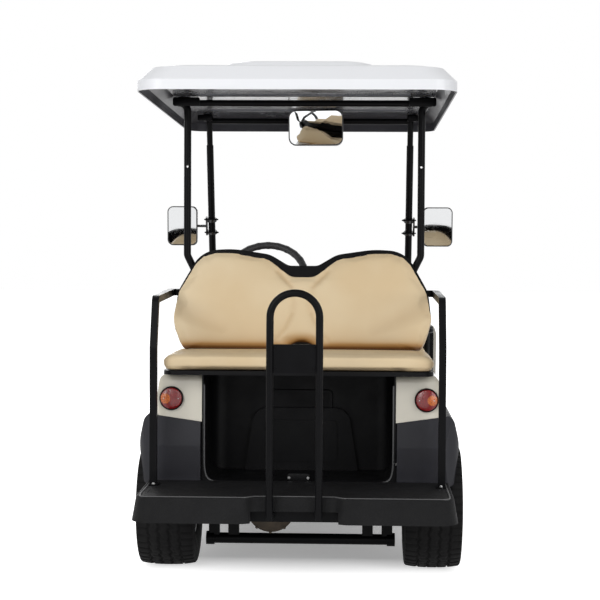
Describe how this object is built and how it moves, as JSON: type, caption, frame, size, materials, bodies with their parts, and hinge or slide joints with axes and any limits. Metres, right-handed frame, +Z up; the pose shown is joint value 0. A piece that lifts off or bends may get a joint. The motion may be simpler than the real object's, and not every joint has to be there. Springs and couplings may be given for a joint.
{
  "type": "golf cart",
  "caption": "Electric golf cart with a canopy roof, front bench, rear-facing seat over a footplate, grab bars, mirrors and steered front wheels.",
  "frame": {"origin": "on the ground under the middle of the cart's box", "axes": "+Y to the cart's front, +X to its right, +Z up"},
  "size_m": [1.234, 2.8, 1.8414],
  "materials": {
    "roof_white": "glossy moulded",
    "liner_grey": "semi-gloss moulded",
    "body_cream": "glossy paint",
    "fender_charcoal": "textured moulded",
    "black_plastic": "textured moulded",
    "black_steel": "satin powder coat",
    "tan_vinyl": "soft grained vinyl",
    "tyre_rubber": "matt",
    "wheel_paint": "satin paint",
    "lamp_red": "ribbed lens",
    "lamp_clear": "clear lens",
    "mirror_black": "black shell",
    "bare_steel": "bare",
    "battery_black": "moulded case",
    "wheel_rubber": "soft grip"
  },
  "bodies": {
    "cart": {"chassis_frame": "black_steel", "floor_pan": "black_plastic", "rear_body": "body_cream", "rear_fenders": "fender_charcoal", "bag_well": "black_plastic", "rear_step": "black_plastic", "grab_bars": "black_steel", "centre_handle": "black_steel", "rear_struts": "black_steel", "front_struts": "black_steel", "roof": "roof_white", "roof_liner": "liner_grey", "rear_seat_cushion": "tan_vinyl", "rear_seat_back": "tan_vinyl", "rear_seat_frame": "black_plastic", "front_seat_back": "tan_vinyl", "front_seat_frame": "black_plastic", "front_cowl": "body_cream", "dashboard": "black_plastic", "front_bumper": "fender_charcoal", "front_axle": "black_steel", "steering_column": "black_steel", "pedals": "black_steel", "rear_axle": "black_steel", "drive_motor": "black_steel", "rear_springs": "black_steel", "battery_pack": "battery_black", "tail_lamps": "lamp_red", "headlamps": "lamp_clear", "side_mirrors": "mirror_black", "centre_mirror": "mirror_black"},
    "wheel_rear_left": {"tyre_rear_left": "tyre_rubber", "rim_rear_left": "wheel_paint"},
    "wheel_rear_right": {"tyre_rear_right": "tyre_rubber", "rim_rear_right": "wheel_paint"},
    "wheel_front_left": {"tyre_front_left": "tyre_rubber", "rim_front_left": "wheel_paint"},
    "wheel_front_right": {"tyre_front_right": "tyre_rubber", "rim_front_right": "wheel_paint"},
    "knuckle_left": {"knuckle_left": "bare_steel"},
    "knuckle_right": {"knuckle_right": "bare_steel"},
    "tie_rod": {"tie_rod": "bare_steel"},
    "pitman_arm": {"pitman_arm": "bare_steel"},
    "steering_wheel": {"steering_wheel": "wheel_rubber"},
    "seat_lid": {"front_seat_cushion": "tan_vinyl", "front_seat_pan": "black_plastic"}
  },
  "joints": [
    {"name": "roll_rear_left", "type": "hinge", "parent": "cart", "child": "wheel_rear_left", "pos_m": [-0.49, -0.72, 0.2285], "axis": [1, 0, 0], "continuous": true},
    {"name": "roll_rear_right", "type": "hinge", "parent": "cart", "child": "wheel_rear_right", "pos_m": [0.49, -0.72, 0.2285], "axis": [1, 0, 0], "continuous": true},
    {"name": "steer_left", "type": "hinge", "parent": "cart", "child": "knuckle_left", "pos_m": [-0.365, 0.94, 0.2285], "axis": [0, 0, 1], "range_deg": [-28, 28]},
    {"name": "roll_front_left", "type": "hinge", "parent": "knuckle_left", "child": "wheel_front_left", "pos_m": [-0.49, 0.94, 0.2285], "axis": [1, 0, 0], "continuous": true},
    {"name": "steer_right", "type": "hinge", "parent": "cart", "child": "knuckle_right", "pos_m": [0.365, 0.94, 0.2285], "axis": [0, 0, 1], "range_deg": [-28, 28]},
    {"name": "roll_front_right", "type": "hinge", "parent": "knuckle_right", "child": "wheel_front_right", "pos_m": [0.49, 0.94, 0.2285], "axis": [1, 0, 0], "continuous": true},
    {"name": "tie_rod_swing", "type": "hinge", "parent": "knuckle_left", "child": "tie_rod", "pos_m": [-0.365, 0.83, 0.168], "axis": [0, 0, 1], "range_deg": [-28, 28]},
    {"name": "pitman_swing", "type": "hinge", "parent": "cart", "child": "pitman_arm", "pos_m": [-0.13, 0.94, 0.246], "axis": [0, 0, 1], "range_deg": [-28, 28]},
    {"name": "steering_wheel_turn", "type": "hinge", "parent": "cart", "child": "steering_wheel", "pos_m": [-0.18, 0.16, 1.07], "axis": [0, -0.766, 0.6428], "range_deg": [-252, 252]},
    {"name": "seat_lid_open", "type": "hinge", "parent": "cart", "child": "seat_lid", "pos_m": [0, -0.366, 0.706], "axis": [1, 0, 0], "range_deg": [0, 45]}
  ],
  "couplings": [
    {"joint": "steer_right", "follows": "steer_left", "ratio": 1},
    {"joint": "tie_rod_swing", "follows": "steer_left", "ratio": -1},
    {"joint": "pitman_swing", "follows": "steer_left", "ratio": 1},
    {"joint": "steering_wheel_turn", "follows": "steer_left", "ratio": 9}
  ]
}
